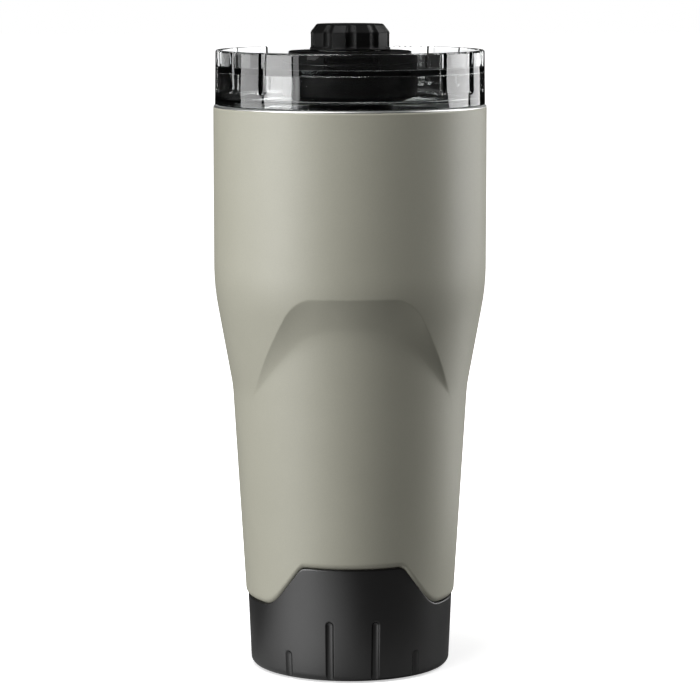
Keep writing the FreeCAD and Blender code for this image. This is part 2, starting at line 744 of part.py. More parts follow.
def make_knob():
    """Ten-sided knob with a flute at every corner, driven by the spindle's flat."""
    pitch = 360.0 / KNOB_LOBES
    corner_r = KNOB_APOTHEM / math.cos(math.radians(pitch / 2))
    chamfer_z = KNOB_TOP_Z - KNOB_CHAMFER_DROP
    corner = Vector(0, -corner_r, KNOB_FOOT_Z)
    corners = [Rotation(Vector(0, 0, 1), pitch * i).multVec(corner) for i in range(KNOB_LOBES)]
    prism = Part.Face(Part.makePolygon(corners + corners[:1])).extrude(Vector(0, 0, KNOB_TOP_Z - KNOB_FOOT_Z))
    outward = Vector(0, -KNOB_CHAMFER_DROP, KNOB_CHAMFER_IN)
    above_chamfer = half_space(Vector(0, -KNOB_APOTHEM, chamfer_z), outward)
    for i in range(KNOB_LOBES):
        prism = prism.cut(spun(above_chamfer, pitch * (i + 0.5)))
    envelope = turned([
        (0, KNOB_FOOT_Z),
        (KNOB_FLARE_R, KNOB_FOOT_Z, 0.3),
        (KNOB_FLARE_R - 0.1, KNOB_TOP_Z - 2.4),
        (KNOB_FLARE_R - 1.9, KNOB_TOP_Z, 0.5),
        (0, KNOB_TOP_Z),
    ])
    knob = prism.common(envelope)
    flute_foot = KNOB_FOOT_Z + KNOB_FLARE_T
    bend = Vector(0, -corner_r - 1.1, chamfer_z)
    upright = Part.makeCylinder(KNOB_FLUTE_R, chamfer_z - flute_foot, Vector(0, bend.y, flute_foot))
    leaning = Part.makeCylinder(KNOB_FLUTE_R, 6.0, bend, Vector(0, KNOB_CHAMFER_IN, KNOB_CHAMFER_DROP))
    flute = upright.fuse(leaning).fuse(Part.makeSphere(KNOB_FLUTE_R, bend))
    for i in range(KNOB_LOBES):
        knob = knob.cut(spun(flute, pitch * i))
    fit = 0.05
    drive_top = SPINDLE_TOP_Z + 0.1
    drive = disc(DRIVE_R + fit, KNOB_FOOT_Z - 1.0, drive_top)
    drive = drive.cut(block(6.0, DRIVE_FLAT + fit, 8.0, KNOB_FOOT_Z - 1.0, drive_top))
    knob = knob.cut(drive).cut(disc(SCREW_R + 0.2, drive_top - 0.5, SCREW_HEAD_Z + 0.5))
    head_room = disc(4.5, SCREW_HEAD_Z, KNOB_CAP_Z + 0.5)
    return knob.cut(head_room).cut(disc(KNOB_CAP_R + 0.05, KNOB_CAP_Z - 0.05, KNOB_TOP_Z + 1.0))


def make_knob_washer():
    """Thin low-friction washer under the knob."""
    return ring(JOURNAL_R + 0.1, 11.0, CAP_TOP_Z + 0.03, KNOB_FOOT_Z - 0.04)


def make_knob_screw():
    """Pan-head screw that holds the knob on the spindle."""
    tip, head_top = 213.0, SCREW_HEAD_Z + 1.6
    body = turned([
        (0, tip),
        (SCREW_R - 0.3, tip, 0.2),
        (SCREW_R, tip + 1.0),
        (SCREW_R, SCREW_HEAD_Z),
        (SCREW_HEAD_R, SCREW_HEAD_Z, 0.2),
        (SCREW_HEAD_R, head_top, 0.7),
        (0, head_top),
    ])
    slot = block(0.35, -1.6, 1.6, SCREW_HEAD_Z + 0.8, head_top + 0.4)
    return body.cut(slot).cut(spun(slot, 90))


def make_knob_cap():
    """Flush cap over the screw."""
    top = KNOB_TOP_Z - 0.15
    radius = KNOB_CAP_R - 0.02
    return turned([(0, KNOB_CAP_Z), (radius, KNOB_CAP_Z), (radius, top, 0.3), (0, top)])


MAKERS = {
    "outer_shell": make_outer_shell,
    "inner_liner": make_inner_liner,
    "base_plate": make_base_plate,
    "vacuum_seal_bead": make_vacuum_seal_bead,
    "getter_tablet": make_getter_tablet,
    "getter_clip": make_getter_clip,
    "base_boot": make_base_boot,
    "foot_ring": make_foot_ring,
    "lid_shell": make_lid_shell,
    "lid_gasket": make_lid_gasket,
    "valve_housing": make_valve_housing,
    "housing_gasket": make_housing_gasket,
    "housing_cover": make_housing_cover,
    "spindle": make_spindle,
    "spindle_o_ring": make_spindle_o_ring,
    "thrust_washer": make_thrust_washer,
    "valve_plunger": make_valve_plunger,
    "plunger_seal": make_plunger_seal,
    "knob": make_knob,
    "knob_washer": make_knob_washer,
    "knob_screw": make_knob_screw,
    "knob_cap": make_knob_cap,
}


def main():
    os.makedirs("parts", exist_ok=True)
    for name, maker in MAKERS.items():
        shape = maker()
        print(name, shape.ShapeType, len(shape.Solids), shape.isValid(), round(shape.Volume, 1))
        shape.exportStep("parts/" + name + ".step")


main()
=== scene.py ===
import json
import math

import bmesh
import bpy
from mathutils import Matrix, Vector


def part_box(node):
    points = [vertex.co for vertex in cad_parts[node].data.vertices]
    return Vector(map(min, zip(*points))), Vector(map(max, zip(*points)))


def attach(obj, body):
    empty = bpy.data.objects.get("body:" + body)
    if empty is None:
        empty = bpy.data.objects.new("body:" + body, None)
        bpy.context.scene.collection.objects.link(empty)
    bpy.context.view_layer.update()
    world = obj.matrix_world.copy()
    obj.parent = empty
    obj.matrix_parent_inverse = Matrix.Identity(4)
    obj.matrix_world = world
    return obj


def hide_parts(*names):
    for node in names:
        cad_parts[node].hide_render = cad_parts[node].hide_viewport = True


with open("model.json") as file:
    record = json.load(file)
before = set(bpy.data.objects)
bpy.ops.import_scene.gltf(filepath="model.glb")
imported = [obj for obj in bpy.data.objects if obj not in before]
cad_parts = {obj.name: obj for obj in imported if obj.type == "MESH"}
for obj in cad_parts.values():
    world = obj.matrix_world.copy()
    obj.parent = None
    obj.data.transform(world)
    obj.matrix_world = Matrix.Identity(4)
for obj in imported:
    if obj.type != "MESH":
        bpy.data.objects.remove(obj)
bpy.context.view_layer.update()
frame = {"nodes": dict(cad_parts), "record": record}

# Shapes are worked out in millimetres, as in the CAD source, and become metres when a mesh is made.
MM = 0.001


def low(node):
    """Lowest corner of a CAD node in millimetres."""
    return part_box(node)[0] / MM


def high(node):
    """Highest corner of a CAD node in millimetres."""
    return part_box(node)[1] / MM


def round_radius(node):
    """Radius of a round CAD node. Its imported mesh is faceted, so its box falls just short of the circle."""
    return math.ceil(max(*high(node).xy, *(-low(node).xy)) * 10) / 10


def hole_radius(node):
    """Inner radius of a ring-shaped CAD node, from its own mesh."""
    return round(min(v.co.xy.length for v in frame["nodes"][node].data.vertices) / MM, 1)


# Levels and radii that come from the frame.
BODY_R = round_radius("outer_shell")
SHELL_TOP_Z = high("outer_shell").z
SHELL_FOOT_Z = low("outer_shell").z
RIM_Z = high("inner_liner").z
RIM_R = round_radius("inner_liner")
BOOT_FOOT_Z = low("base_boot").z
FOOT_RING_R = round_radius("foot_ring")
FOOT_RING_HOLE_R = hole_radius("foot_ring")
KNOB_FOOT_Z = low("knob").z
KNOB_TOP_Z = high("knob").z

# Shape of the cup, the same numbers as in the CAD source.
SHOULDER_Z, WAIST_Z, SEAM_Z, TONGUE_Z = 136.0, 100.5, 25.5, 40.7
WAIST_R, SEAM_R = 41.6, 37.07
WALL = 0.8
TONGUE_HALF_TOP, TONGUE_HALF_FOOT = 17.9, 28.3
BOOT_WALL, BOOT_CLEAR, SEAM_GAP = 1.8, 0.1, 0.25
BOOT_BASE_R, BOOT_BASE_Z, BOOT_RISE_PER_MM = 35.4, 3.0, 22.5  # the boot widens by 1 mm in 22.5 mm of height
CORE_INSET = BOOT_WALL + BOOT_CLEAR  # the shell's core lies this far inside the boot's outer face

# The two edges of a thumb ledge: height of the arch's top, angle at which it bends down, fall per degree past
# that, and the lowest height of the mesh row that follows it.
LEDGE_MOUTH = {"top": 136.5, "bend": 23.7, "fall": 1.18, "row_low": 104.0}
LEDGE_FOOT = {"top": 123.9, "bend": 19.2, "fall": 0.70, "row_low": 99.5}
LEDGE_HALF_ANGLE = 57.0  # degrees from a ledge's middle, beyond which the wall is plain
LEDGE_LOW_Z, LEDGE_HIGH_Z = 94.0, 150.0

# Roundings where two surfaces meet, some of them a little rounder or crisper than in the CAD.
WAIST_BLEND, SHOULDER_BLEND = 0.36, 1.3
ARCH_BLEND, LEDGE_FLOOR_BLEND, LEDGE_BRIM_BLEND = 8.0, 0.16, 0.14
SEAM_LOW_BLEND, SEAM_TOP_BLEND = 4.2, 1.9
SEAM_EDGE_R, TOP_EDGE_R = 2.2, 0.3

ARC_STEPS = 6
GUARD = 0.15  # distance of the guard points that keep flats flat beside a rounded edge


# ---------------------------------------------------------------- curves and meshes


def smooth_min(a, b, blend):
    """Lesser of two values, rounded over where they are within blend of each other."""
    overlap = max(blend - abs(a - b), 0.0) / blend
    return min(a, b) - overlap**2 * blend / 4


def smooth_max(a, b, blend):
    """Greater of two values, rounded in the same way."""
    return -smooth_min(-a, -b, blend)


def outline(points, closed=True):
    """Dense outline through points (r, z[, corner radius]): arcs at corners, guard points along flats."""
    count = len(points)
    corners = []
    for i, point in enumerate(points):
        here = Vector(point[:2])
        radius = point[2] if len(point) > 2 else 0.0
        if radius == 0.0 or (not closed and i in (0, count - 1)):
            corners.append([here])
            continue
        before = (Vector(points[i - 1][:2]) - here).normalized()
        after = (Vector(points[(i + 1) % count][:2]) - here).normalized()
        half = before.angle(after) / 2
        reach = radius / math.tan(half)
        centre = here + (before + after).normalized() * (radius / math.sin(half))
        start = here + before * reach - centre
        end = here + after * reach - centre
        turn = start.angle_signed(end)
        arc = []
        for k in range(ARC_STEPS + 1):
            angle = -turn * k / ARC_STEPS
            arc.append(centre + Vector((start.x * math.cos(angle) - start.y * math.sin(angle),
                                        start.x * math.sin(angle) + start.y * math.cos(angle))))
        corners.append(arc)
    dense = []
    for i, arc in enumerate(corners):
        dense += arc
        if not closed and i == count - 1:
            break
        end = arc[-1]
        span = corners[(i + 1) % count][0] - end
        guard = min(GUARD, span.length * 0.3)
        if span.length > 1e-6:
            step = span.normalized() * guard
            dense += [end + step, end + span - step]
    return [(p.x, p.y) for p in dense]


def even_angles(count):
    """Angles from the front in degrees, evenly round the axis."""
    return [360.0 * i / count for i in range(count)]


def refined_angles(count, centres, half_width, step):
    """Even angles, with a finer fan of them around each centre."""
    fans = []
    for centre in centres:
        steps = round(half_width / step)
        fans += [(centre + step * k) % 360.0 for k in range(-steps, steps + 1)]
    even = [a for a in even_angles(count)
            if all(abs((a - c + 180) % 360 - 180) > half_width + 180.0 / count for c in centres)]
    return sorted(set(round(a, 4) for a in fans + even))


def sweep(name, section, angles, closed=True):
    """Mesh swept round Z. section(angle) lists (r, z) in millimetres, the same count at every angle.

    A closed section makes a ring. An open one starts and ends on the axis, and makes a solid of its own."""
    mesh = bpy.data.meshes.new(name)
    piece = bpy.data.objects.new(name, mesh)
    bpy.context.scene.collection.objects.link(piece)
    build = bmesh.new()
    columns = []
    poles = None
    for angle in angles:
        sine, cosine = math.sin(math.radians(angle)), math.cos(math.radians(angle))
        points = section(angle)
        if not closed:
            if poles is None:
                poles = [build.verts.new((0, 0, points[k][1] * MM)) for k in (0, -1)]
            points = points[1:-1]
        columns.append([build.verts.new((r * sine * MM, -r * cosine * MM, z * MM)) for r, z in points])
    for i, column in enumerate(columns):
        following = columns[(i + 1) % len(columns)]
        for k in range(len(column) if closed else len(column) - 1):
            j = (k + 1) % len(column)
            build.faces.new((column[k], following[k], following[j], column[j]))
        if not closed:
            build.faces.new((poles[0], following[0], column[0]))
            build.faces.new((poles[1], column[-1], following[-1]))
    bmesh.ops.recalc_face_normals(build, faces=build.faces)
    for face in build.faces:
        face.smooth = True
    build.to_mesh(mesh)
    build.free()
    return piece


# ---------------------------------------------------------------- cup


def lower_taper_r(z):
    """Radius of the lower taper, also above the waist where the ledges show it."""
    return SEAM_R + (z - SEAM_Z) * (WAIST_R - SEAM_R) / (WAIST_Z - SEAM_Z)


def wall_r(z):
    """Outer radius of the cup without its ledges."""
    slope = (BODY_R - WAIST_R) / (SHOULDER_Z - WAIST_Z)
    upper = BODY_R - (SHOULDER_Z - z) * slope
    return smooth_min(BODY_R, smooth_max(lower_taper_r(z), upper, WAIST_BLEND), SHOULDER_BLEND)


def arch_z(arch, angle):
    """Height of a ledge arch at an angle from the ledge's middle, in degrees."""
    return smooth_min(arch["top"], arch["top"] - arch["fall"] * (angle - arch["bend"]), ARCH_BLEND)


def ledge_angle(angle):
    """Angle from the middle of the nearer ledge, front or back."""
    folded = abs((angle + 180) % 360 - 180)
    return min(folded, 180 - folded)


def shell_r(z, angle):
    """Outer radius of the painted wall, ledges included."""
    side = ledge_angle(angle)
    wall = wall_r(z)
    if side > LEDGE_HALF_ANGLE or z >= LEDGE_HIGH_Z or z <= LEDGE_LOW_Z:
        return wall
    floor = lower_taper_r(z)
    foot_z, mouth_z = arch_z(LEDGE_FOOT, side), arch_z(LEDGE_MOUTH, side)
    climb = smooth_max((z - foot_z) / max(mouth_z - foot_z, 0.6), 0.0, LEDGE_FLOOR_BLEND)
    slope = (BODY_R - WAIST_R) / (SHOULDER_Z - WAIST_Z)
    straight = min(BODY_R, BODY_R - (SHOULDER_Z - z) * slope)
    pocket = floor + max(straight - floor, 0.0) * climb + max(climb - 1.0, 0.0)
    return smooth_min(wall, max(pocket, floor), LEDGE_BRIM_BLEND)


def seam_z(x):
    """Height of the seam between painted wall and boot at a distance x from the middle plane."""
    slope = (TONGUE_Z - SEAM_Z) / (TONGUE_HALF_FOOT - TONGUE_HALF_TOP)
    ramp = SEAM_Z + (TONGUE_HALF_FOOT - abs(x)) * slope
    return smooth_min(TONGUE_Z, smooth_max(SEAM_Z, ramp, SEAM_LOW_BLEND), SEAM_TOP_BLEND)


def boot_r(z):
    """Outer radius of the boot."""
    return BOOT_BASE_R + (z - BOOT_BASE_Z) / BOOT_RISE_PER_MM


def core_r(z):
    """Outer radius of the shell's core, which the boot is pushed over."""
    return boot_r(z) - CORE_INSET


def spaced(start, end, count, tight_start=False, tight_end=False):
    """Values from start to end, closer together at the ends that are named tight."""
    values = []
    for i in range(count + 1):
        t = i / count
        if tight_start and tight_end:
            t = t * t * (3 - 2 * t)
        elif tight_start:
            t = t * t
        elif tight_end:
            t = 1 - (1 - t) ** 2
        values.append(start + (end - start) * t)
    return values


def shell_rows(angle, foot):
    """Heights of the mesh rows from the wall's top down to foot; two of them follow the ledge's arches."""
    side = ledge_angle(angle)
    mouth = smooth_max(arch_z(LEDGE_MOUTH, side), LEDGE_MOUTH["row_low"], 3.0)
    inner = smooth_max(arch_z(LEDGE_FOOT, side), LEDGE_FOOT["row_low"], 3.0)
    plain_z = LEDGE_LOW_Z - 2.0
    rows = spaced(SHELL_TOP_Z - 0.5, LEDGE_HIGH_Z, 14, tight_start=True)
    rows += spaced(LEDGE_HIGH_Z, mouth, 22, tight_end=True)[1:]
    rows += spaced(mouth, inner, 18, tight_start=True)[1:]
    rows += spaced(inner, plain_z, 10)[1:]
    rows += spaced(plain_z, foot, 20, tight_end=True)[1:]
    return rows


def shell_section(angle):
    """Painted wall: outside with the ledges, rounded edge at the seam, step in for the boot, and inside."""
    sine = math.sin(math.radians(angle))
    seam = seam_z(lower_taper_r(30.0) * sine)
    seam = seam_z(lower_taper_r(seam) * sine)
    core_seam = seam_z(core_r(seam) * sine)
    edge_z = seam + SEAM_EDGE_R
    edge_r = shell_r(edge_z, angle)
    edge_in = TOP_EDGE_R * 0.3
    rows = shell_rows(angle, edge_z)
    points = [(BODY_R - WALL, SHELL_TOP_Z), (BODY_R - TOP_EDGE_R, SHELL_TOP_Z),
              (BODY_R - edge_in, SHELL_TOP_Z - edge_in)]
    points += [(shell_r(z, angle), z) for z in rows]
    for k in range(1, ARC_STEPS + 1):
        turn = math.radians(90 * k / ARC_STEPS)
        r = edge_r - SEAM_EDGE_R * (1 - math.cos(turn))
        points.append((r, seam + SEAM_EDGE_R * (1 - math.sin(turn))))
    points += [(core_r(core_seam) + 0.2, core_seam), (core_r(core_seam), core_seam - 0.2)]
    points += [(core_r(z), z) for z in spaced(core_seam - 1.0, SHELL_FOOT_Z + 0.8, 6)]
    points += [(core_r(SHELL_FOOT_Z) - 0.2, SHELL_FOOT_Z), (core_r(SHELL_FOOT_Z) - WALL, SHELL_FOOT_Z)]
    points += [(core_r(z) - WALL, z) for z in spaced(SHELL_FOOT_Z + 1.0, core_seam + WALL - 0.3, 6)]
    points += [(core_r(core_seam) - WALL + 0.3, core_seam + WALL), (edge_r - SEAM_EDGE_R, seam + WALL)]
    points += [(shell_r(z, angle) - WALL, max(z, edge_z)) for z in reversed(rows)]
    return points


def make_cup_shell():
    """Powder-coated outer wall."""
    return sweep("painted_shell", shell_section, even_angles(480))


LINER_WALL, LINER_R, LINER_FOOT_R = 0.5, 44.6, 30.0
LINER_WAIST_R, LINER_WAIST_Z, LINER_SHOULDER_Z = 40.5, 126.0, 140.0
LINER_BEND_R, LINER_FOOT_BEND_R = 20.0, 8.0


def make_liner():
    """Bare steel liner with its rolled lip: up the inside, over the lip and down the outside."""
    foot = low("inner_liner").z
    inside = [(LINER_FOOT_R, foot + LINER_WALL, LINER_FOOT_BEND_R - LINER_WALL),
              (LINER_WAIST_R, LINER_WAIST_Z, LINER_BEND_R), (LINER_R, LINER_SHOULDER_Z, LINER_BEND_R)]
    outside = [(LINER_R + LINER_WALL, LINER_SHOULDER_Z, LINER_BEND_R),
               (LINER_WAIST_R + LINER_WALL, LINER_WAIST_Z, LINER_BEND_R),
               (LINER_FOOT_R + LINER_WALL, foot, LINER_FOOT_BEND_R)]
    lip = [(LINER_R, RIM_Z, 0.35), (RIM_R, RIM_Z, 0.38), (RIM_R, SHELL_TOP_Z, 0.05),
           (LINER_R + LINER_WALL, SHELL_TOP_Z, 0.3)]
    shape = outline([(0, foot + LINER_WALL)] + inside + lip + outside + [(0, foot)], closed=False)
    return sweep("steel_liner", lambda angle: shape, even_angles(288), closed=False)


# ---------------------------------------------------------------- boot


BOOT_FLOOR_Z, BOOT_CORNER_R = 2.6, 2.3
RECESS_Z, RECESS_CLEAR = 1.6, 0.1  # roof of the foot ring's recess, and its clearance beside the ring
LONG_FLUTE_ANGLE, SHORT_FLUTE_ANGLE = 12.86, 38.57  # degrees from the middle of the tongue
LONG_FLUTE_Z, SHORT_FLUTE_Z = 22.0, 10.2  # where the flutes end; they run out at the foot
FLUTE_WIDTH, FLUTE_DEPTH, FLUTE_BLEND = 2.9, 1.15, 0.16
FLUTE_R = (FLUTE_WIDTH**2 / 4 + FLUTE_DEPTH**2) / (2 * FLUTE_DEPTH)
FLUTE_REACH = 4.0  # degrees to each side of its middle within which a flute cuts

BOOT_FLUTES = [(half + side * at, end) for half in (0, 180)
               for at, end in ((LONG_FLUTE_ANGLE, LONG_FLUTE_Z), (SHORT_FLUTE_ANGLE, SHORT_FLUTE_Z))
               for side in (-1, 1)]


def flute_r(offset, z, end):
    """Radius of a flute's round bottom, offset degrees from its middle, or infinity where it doesn't cut."""
    centre_r = boot_r(min(z, end)) - FLUTE_DEPTH + FLUTE_R
    past = z - (end - FLUTE_R)
    if past > FLUTE_R:
        return math.inf
    reach = FLUTE_R**2 - max(past, 0.0) ** 2
    across = centre_r * math.sin(math.radians(offset))
    if reach <= across**2:
        return math.inf
    return centre_r * math.cos(math.radians(offset)) - math.sqrt(reach - across**2)


def boot_surface_r(z, angle, profile_r):
    """Outside of the boot with its flutes."""
    r = profile_r
    for at, end in BOOT_FLUTES:
        offset = (angle - at + 180) % 360 - 180
        if abs(offset) < FLUTE_REACH:
            r = smooth_min(r, flute_r(offset, z, end), FLUTE_BLEND)
    return r


def boot_inner_r(z):
    """Inner radius of the boot."""
    return boot_r(z) - BOOT_WALL


def boot_section(angle):
    """Boot from the middle of its floor, up the inside, over the tongue, down the outside and under."""
    sine = math.sin(math.radians(angle))
    top = seam_z(boot_r(34.0) * sine) - SEAM_GAP
    top = seam_z(boot_r(top) * sine) - SEAM_GAP
    wall_foot_r = boot_inner_r(BOOT_FLOOR_Z)
    points = [(r, BOOT_FLOOR_Z) for r in (0, 20.0, 31.5, wall_foot_r - 0.6)]
    points += [(wall_foot_r - 0.1, BOOT_FLOOR_Z + 0.3)]
    points += [(boot_inner_r(BOOT_FLOOR_Z + 1.0), BOOT_FLOOR_Z + 1.0)]
    points += [(boot_inner_r(z), z) for z in spaced(BOOT_FLOOR_Z + 2.0, top - 0.3, 6)]
    points += [(boot_inner_r(top) + 0.25, top), (boot_r(top) - 0.5, top), (boot_r(top) - 0.32, top - 0.02),
               (boot_r(top) - 0.12, top - 0.12), (boot_r(top) - 0.02, top - 0.32)]
    corner_z = BOOT_FOOT_Z + BOOT_CORNER_R
    levels = (LONG_FLUTE_Z + 1.2, LONG_FLUTE_Z - 2.6, SHORT_FLUTE_Z + 1.0, SHORT_FLUTE_Z - 2.6, corner_z)
    rows = spaced(top - 0.6, levels[0], 10)
    for above, below, count in zip(levels, levels[1:], (14, 10, 14, 8)):
        rows += spaced(above, below, count)[1:]
    points += [(boot_surface_r(z, angle, boot_r(z)), z) for z in rows]
    for k in range(1, 9):
        turn = math.radians(90 * k / 8)
        z = BOOT_FOOT_Z + BOOT_CORNER_R * (1 - math.sin(turn))
        r = boot_r(corner_z) - 0.08 * k / 8 - BOOT_CORNER_R * (1 - math.cos(turn))
        points.append((boot_surface_r(z, angle, r), z))
    ring_out, ring_in = FOOT_RING_R + RECESS_CLEAR, FOOT_RING_HOLE_R - RECESS_CLEAR
    points += [(32.0, BOOT_FOOT_Z), (ring_out + 0.15, BOOT_FOOT_Z), (ring_out, BOOT_FOOT_Z + 0.12),
               (ring_out, RECESS_Z - 0.1), (ring_out - 0.1, RECESS_Z), (ring_in + 0.1, RECESS_Z),
               (ring_in, RECESS_Z - 0.1), (ring_in, BOOT_FOOT_Z + 0.12), (ring_in - 0.15, BOOT_FOOT_Z),
               (12.0, BOOT_FOOT_Z), (0, BOOT_FOOT_Z)]
    return points


def make_boot():
    """Moulded boot."""
    angles = refined_angles(360, [at % 360 for at, end in BOOT_FLUTES], 3.2, 0.25)
    return sweep("moulded_boot", boot_section, angles, closed=False)


def make_foot_ring():
    """Silicone ring under the boot."""
    bottom, top = low("foot_ring").z, high("foot_ring").z
    shape = outline([(FOOT_RING_HOLE_R, bottom, 0.25), (FOOT_RING_R, bottom, 0.25), (FOOT_RING_R, top, 0.2),
                     (FOOT_RING_HOLE_R, top, 0.2)])
    return sweep("silicone_foot", lambda angle: shape, even_angles(192))


# ---------------------------------------------------------------- knob

KNOB_APOTHEM = 13.66
KNOB_LOBES = 10
KNOB_CHAMFER_DROP, KNOB_CHAMFER_IN = 2.8, 2.15
KNOB_CROWN = 0.12  # how far the middle of a flat bulges
KNOB_FLUTE_R, KNOB_FLUTE_OUT = 2.4, 1.1  # the flute's radius, and how far outside the corner its axis runs
KNOB_FLUTE_LEAN = 0.93  # share of the chamfer's lean that the flute's axis follows
KNOB_FLARE_R = 14.1  # round skirt under the flats
KNOB_CAP_R = round_radius("knob_cap")
KNOB_RECESS_R, KNOB_RECESS_DEPTH = KNOB_CAP_R + 0.05, 1.6


def knob_side_r(z, angle):
    """Side of the knob: ten flats that lean in above the chamfer line, with a flute at every corner."""
    pitch = 360.0 / KNOB_LOBES
    from_corner = (angle + pitch / 2) % pitch - pitch / 2
    from_flat = (angle % pitch) - pitch / 2
    rise = z - (KNOB_TOP_Z - KNOB_CHAMFER_DROP)
    lean = smooth_max(0.0, rise * KNOB_CHAMFER_IN / KNOB_CHAMFER_DROP, 0.3)
    flat = (KNOB_APOTHEM - lean) / math.cos(math.radians(from_flat))
    flat += KNOB_CROWN * (1 - (from_flat / (pitch / 2)) ** 2)
    centre_r = KNOB_APOTHEM / math.cos(math.pi / KNOB_LOBES) + KNOB_FLUTE_OUT - lean * KNOB_FLUTE_LEAN
    across = centre_r * math.sin(math.radians(from_corner))
    if abs(across) >= KNOB_FLUTE_R:
        return flat
    cut = centre_r * math.cos(math.radians(from_corner)) - math.sqrt(KNOB_FLUTE_R**2 - across**2)
    return smooth_min(flat, cut + 0.1 * max(rise, 0.0), 0.35)


def knob_section(angle):
    """Knob from the top edge of its cap recess, outward over the top, down the side and back under."""
    top, foot, recess = KNOB_TOP_Z, KNOB_FOOT_Z, KNOB_RECESS_R
    edge = knob_side_r(top, angle)
    points = [(0, top - KNOB_RECESS_DEPTH), (recess - 0.2, top - KNOB_RECESS_DEPTH),
              (recess, top - KNOB_RECESS_DEPTH + 0.2), (recess, top - 0.2), (recess + 0.06, top - 0.06),
              (recess + 0.2, top)]
    points += [(recess + (edge - recess) * t, top) for t in (0.3, 0.6, 0.8)]
    points += [(edge - 0.5, top), (edge - 0.22, top - 0.03), (edge - 0.02, top - 0.14)]
    chamfer_z = top - KNOB_CHAMFER_DROP
    rows = spaced(top - 0.35, chamfer_z + 0.5, 7)
    rows += spaced(chamfer_z + 0.5, chamfer_z - 0.6, 7)[1:]
    rows += spaced(chamfer_z - 0.6, foot + 1.5, 6)[1:]
    points += [(knob_side_r(z, angle), z) for z in rows]
    lower = knob_side_r(foot + 1.2, angle)
    points += [(lower + (KNOB_FLARE_R - lower) * (1 - math.cos(math.pi * t)) / 2, foot + 1.2 - 0.6 * t)
               for t in (0.25, 0.5, 0.75, 1.0)]
    points += [(KNOB_FLARE_R + 0.03, foot + 0.35), (KNOB_FLARE_R - 0.05, foot + 0.1),
               (KNOB_FLARE_R - 0.25, foot), (8.0, foot), (0, foot)]
    return points


def make_knob():
    """Ten-lobed knob."""
    return sweep("lobed_knob", knob_section, even_angles(600), closed=False)


def make_knob_cap():
    """Slightly dished cap in the knob's top."""
    top, bottom, rim = high("knob_cap").z, low("knob_cap").z, KNOB_CAP_R - 0.05
    shape = [(0, bottom), (rim - 0.25, bottom), (rim, bottom + 0.2), (rim, top - 0.25),
             (rim - 0.07, top - 0.08), (rim - 0.3, top), (rim - 0.75, top - 0.02), (3.5, top - 0.12),
             (1.5, top - 0.16), (0, top - 0.17)]
    return sweep("knob_top_cap", lambda angle: shape, even_angles(128), closed=False)


# ---------------------------------------------------------------- materials


def bearing(angle, distance, z):
    """Point at an angle from the front, positive towards +X, in metres."""
    return Vector((distance * math.sin(math.radians(angle)), -distance * math.cos(math.radians(angle)), z))


WHITE = (1.0, 1.0, 1.0, 1.0)


class Shader:
    """A node material under construction, in object coordinates, which are the frame's metres."""

    def __init__(self, name):
        self.material = bpy.data.materials.new(name)
        self.material.use_nodes = True
        self.tree = self.material.node_tree
        self.tree.nodes.clear()
        self.out = self.add("ShaderNodeOutputMaterial")
        self.place = self.add("ShaderNodeTexCoord").outputs["Object"]

    def add(self, kind, inputs=None, **settings):
        """New node with settings on the node itself and values or links on its inputs."""
        node = self.tree.nodes.new(kind)
        for key, value in settings.items():
            setattr(node, key, value)
        for key, value in (inputs or {}).items():
            self.feed(node.inputs[key], value)
        return node

    def feed(self, socket, value):
        """Links an output to a socket, or sets the socket's value."""
        if isinstance(value, bpy.types.NodeSocket):
            self.tree.links.new(value, socket)
        else:
            socket.default_value = value

    def stretch(self, x, y, z):
        """Coordinates scaled along each axis, for grain that runs one way."""
        return self.add("ShaderNodeMapping", {"Vector": self.place, "Scale": (x, y, z)}).outputs["Vector"]

    def noise(self, size_mm, detail=2.0, place=None):
        """Noise whose features are about size_mm across."""
        node = self.add("ShaderNodeTexNoise", {"Vector": place or self.place, "Scale": 1.0 / (size_mm * MM),
                                               "Detail": detail, "Roughness": 0.55})
        return node.outputs["Fac"]

    def remap(self, value, start, end):
        """0..1 noise mapped to a range."""
        node = self.add("ShaderNodeMapRange", {"Value": value, "From Min": 0.25, "From Max": 0.75,
                                               "To Min": start, "To Max": end})
        return node.outputs["Result"]

    def fade(self, value, start, end, at_start, at_end):
        """Smooth change from one level to another while a value goes from start to end."""
        limits = {"Value": value, "From Min": start, "From Max": end, "To Min": at_start, "To Max": at_end}
        return self.add("ShaderNodeMapRange", limits, interpolation_type="SMOOTHSTEP").outputs["Result"]

    def distance(self, first, second):
        """Distance between two places."""
        node = self.add("ShaderNodeVectorMath", {0: first, 1: second}, operation="DISTANCE")
        return node.outputs["Value"]

    def glow(self, strength):
        """White emission."""
        return self.add("ShaderNodeEmission", {"Color": WHITE, "Strength": strength}).outputs["Emission"]

    def surface(self, shader):
        """Puts a shader on the output."""
        self.tree.links.new(shader, self.out.inputs["Surface"])

    def mix(self, share, first, second):
        """Colour between two colours."""
        node = self.add("ShaderNodeMix", data_type="RGBA")
        self.feed(node.inputs["Factor"], share)
        self.feed(node.inputs["A"], (*first, 1.0) if isinstance(first, tuple) else first)
        self.feed(node.inputs["B"], (*second, 1.0) if isinstance(second, tuple) else second)
        return node.outputs["Result"]

    def math(self, operation, first, second):
        """Result of one arithmetic node."""
        return self.add("ShaderNodeMath", {0: first, 1: second}, operation=operation).outputs["Value"]

    def bump(self, height, depth_mm, under=None):
        """Bump of a given depth, over another bump if one is given."""
        inputs = {"Height": height, "Distance": depth_mm * MM, "Strength": 1.0}
        if under is not None:
            inputs["Normal"] = under
        return self.add("ShaderNodeBump", inputs).outputs["Normal"]

    def principled(self, **inputs):
        """Principled surface on the output."""
        names = {key.replace("_", " "): value for key, value in inputs.items()}
        self.surface(self.add("ShaderNodeBsdfPrincipled", names).outputs["BSDF"])


